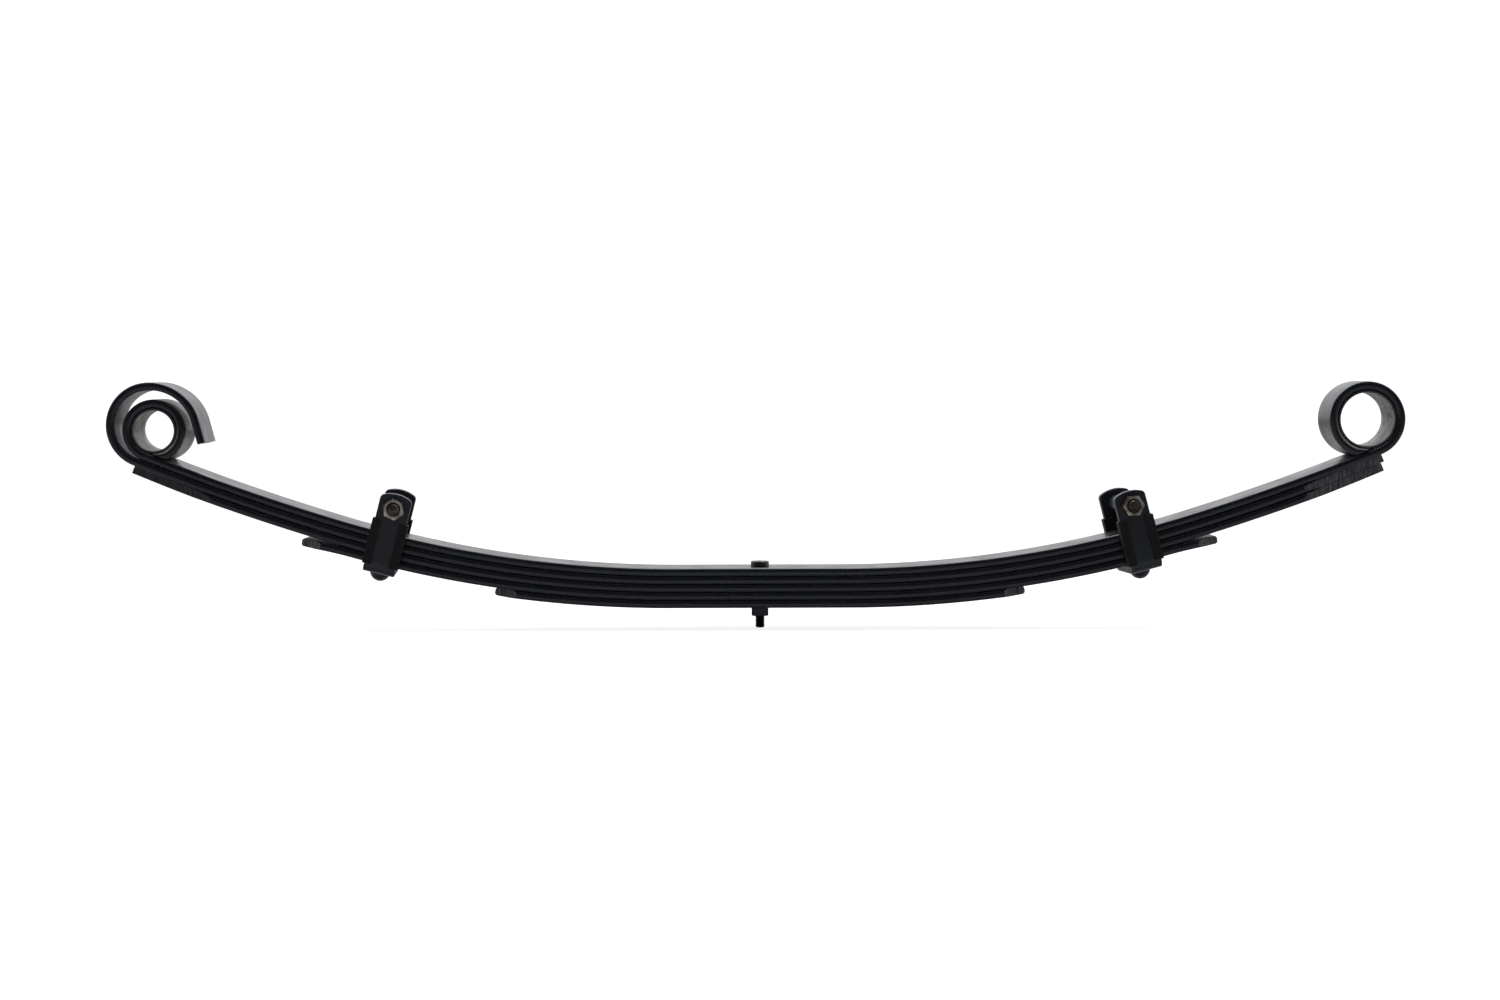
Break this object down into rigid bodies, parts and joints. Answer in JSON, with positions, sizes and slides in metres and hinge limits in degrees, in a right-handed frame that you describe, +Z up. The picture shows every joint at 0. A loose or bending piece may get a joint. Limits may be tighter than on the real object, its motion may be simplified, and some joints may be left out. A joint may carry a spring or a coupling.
{
  "type": "leaf spring",
  "caption": "Multi-leaf suspension spring with two rolled eyes in steel sleeves, a wrap round the front eye, a centre bolt and two riveted rebound clips.",
  "frame": {"origin": "where the centre bolt's axis meets the top face of the main leaf, at the foot of the bolt's round head", "axes": "+X along the spring towards the rear eye, +Y across the leaves towards the clip bolts' heads, +Z up, towards the round head"},
  "size_m": [1.3007, 0.1037, 0.2498],
  "materials": {
    "leaf_paint": "satin",
    "strap_paint": "satin",
    "black_fastener": "satin",
    "sleeve_steel": "satin",
    "bolt_steel": "satin",
    "zinc_plate": "satin",
    "liner_plastic": "matte"
  },
  "bodies": {
    "leaf_pack": {"main_leaf": "leaf_paint", "wrap_leaf": "leaf_paint", "third_leaf": "leaf_paint", "fourth_leaf": "leaf_paint", "fifth_leaf": "leaf_paint", "centre_bolt": "black_fastener", "centre_nut": "black_fastener"},
    "front_arm": {"front_eye_sleeve": "sleeve_steel"},
    "rear_arm": {"rear_eye_sleeve": "sleeve_steel"},
    "front_clip": {"front_clip_strap": "strap_paint", "front_clip_near_liner": "liner_plastic", "front_clip_far_liner": "liner_plastic", "front_clip_bolt": "bolt_steel", "front_clip_nut": "zinc_plate", "front_clip_spacer": "bolt_steel", "front_clip_rivet": "strap_paint"},
    "rear_clip": {"rear_clip_strap": "strap_paint", "rear_clip_near_liner": "liner_plastic", "rear_clip_far_liner": "liner_plastic", "rear_clip_bolt": "bolt_steel", "rear_clip_nut": "zinc_plate", "rear_clip_spacer": "bolt_steel", "rear_clip_rivet": "strap_paint"}
  },
  "joints": [
    {"name": "front_arm_flex", "type": "hinge", "parent": "leaf_pack", "child": "front_arm", "pos_m": [-0.2145, 0, 0.00334], "axis": [0, -1, 0], "range_deg": [-4, 16], "stiffness_Nm_per_rad": 3600, "deforming": ["main_leaf", "wrap_leaf", "third_leaf", "fourth_leaf", "fifth_leaf"]},
    {"name": "rear_arm_flex", "type": "hinge", "parent": "leaf_pack", "child": "rear_arm", "pos_m": [0.21525, 0, 0.00343], "axis": [0, 1, 0], "range_deg": [-4, 16], "stiffness_Nm_per_rad": 3600, "deforming": ["main_leaf", "wrap_leaf", "third_leaf", "fourth_leaf", "fifth_leaf"]},
    {"name": "front_clip_follow", "type": "hinge", "parent": "leaf_pack", "child": "front_clip", "pos_m": [-0.28337, 0, 0.01258], "axis": [0, -1, 0], "range_deg": [-4.3, 17.16]},
    {"name": "rear_clip_follow", "type": "hinge", "parent": "leaf_pack", "child": "rear_clip", "pos_m": [0.28406, 0, 0.01272], "axis": [0, 1, 0], "range_deg": [-4.31, 17.21]}
  ],
  "couplings": [
    {"joint": "front_clip_follow", "follows": "front_arm_flex", "ratio": 1.0716},
    {"joint": "rear_clip_follow", "follows": "rear_arm_flex", "ratio": 1.0747}
  ]
}
